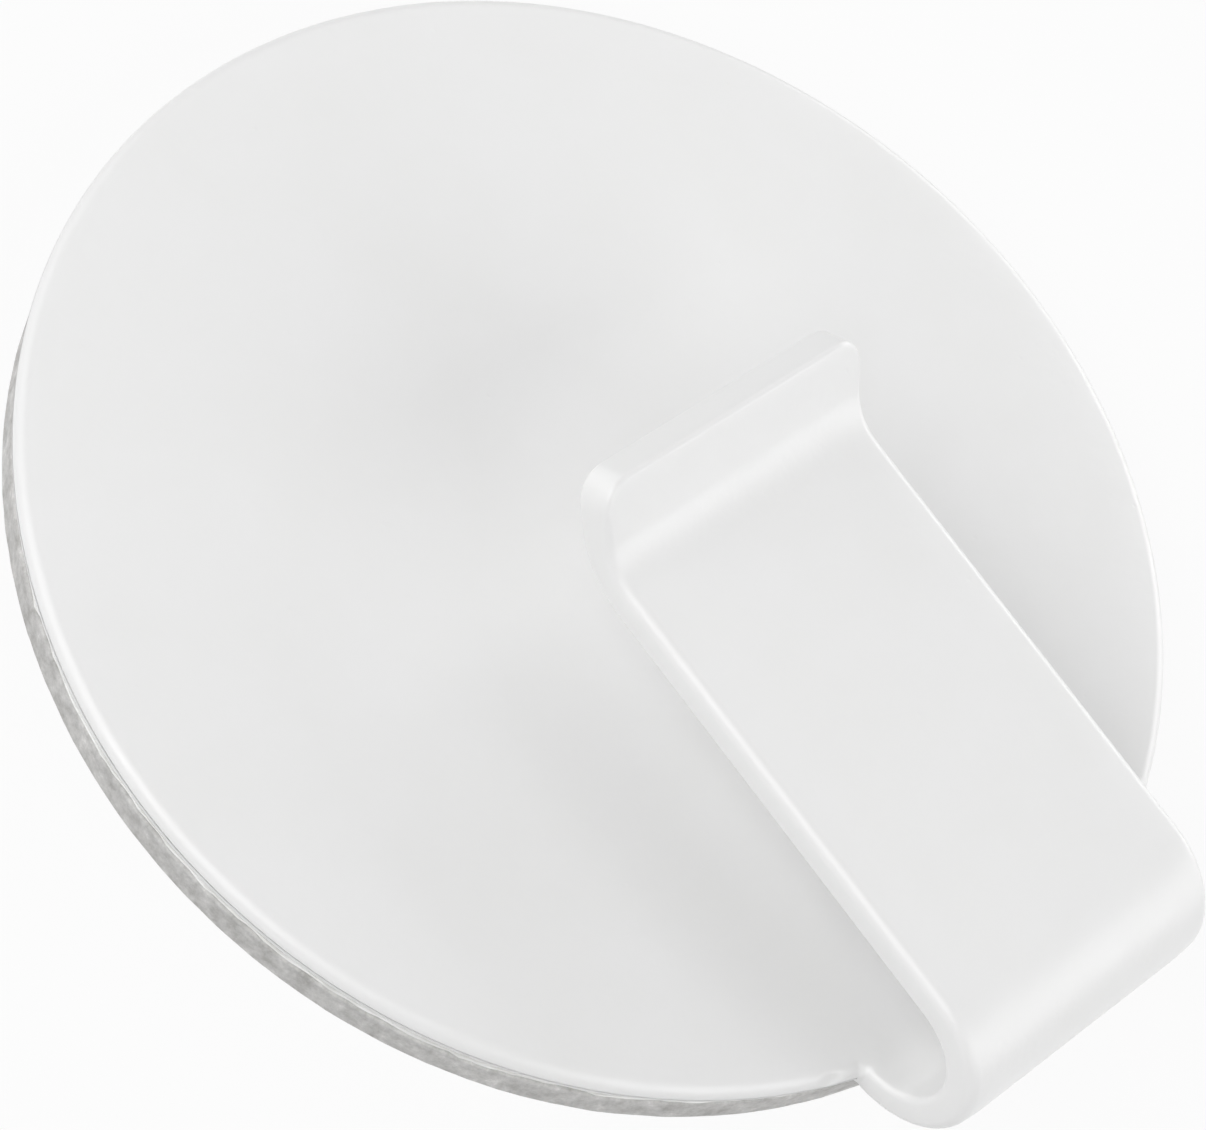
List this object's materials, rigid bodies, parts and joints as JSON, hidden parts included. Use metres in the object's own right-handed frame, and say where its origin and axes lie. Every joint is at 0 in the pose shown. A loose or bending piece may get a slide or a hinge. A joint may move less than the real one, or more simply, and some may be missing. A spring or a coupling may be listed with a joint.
{
  "type": "magnetic hook",
  "caption": "Round white magnetic hook: a coated steel plate whose rim runs on into a bent strip hook with a flared tip, bonded to a flexible magnet disc.",
  "frame": {"origin": "centre of the magnet's back face, the face that sits on the steel surface", "axes": "+Z out of the front of the plate, +Y towards the hook's mouth, which is up in use, +X to the right as seen from the front"},
  "size_m": [0.048, 0.0507, 0.0129],
  "materials": {
    "white_coat": "satin white powder coat, softly rounded at the edges",
    "film": "thin clear-grey adhesive film with a glossy edge",
    "magnet": "matt grey, finely mottled cut edge"
  },
  "bodies": {
    "root": {"hook_plate": "white_coat", "bonding_film": "film", "magnet_disc": "magnet"}
  },
  "joints": []
}
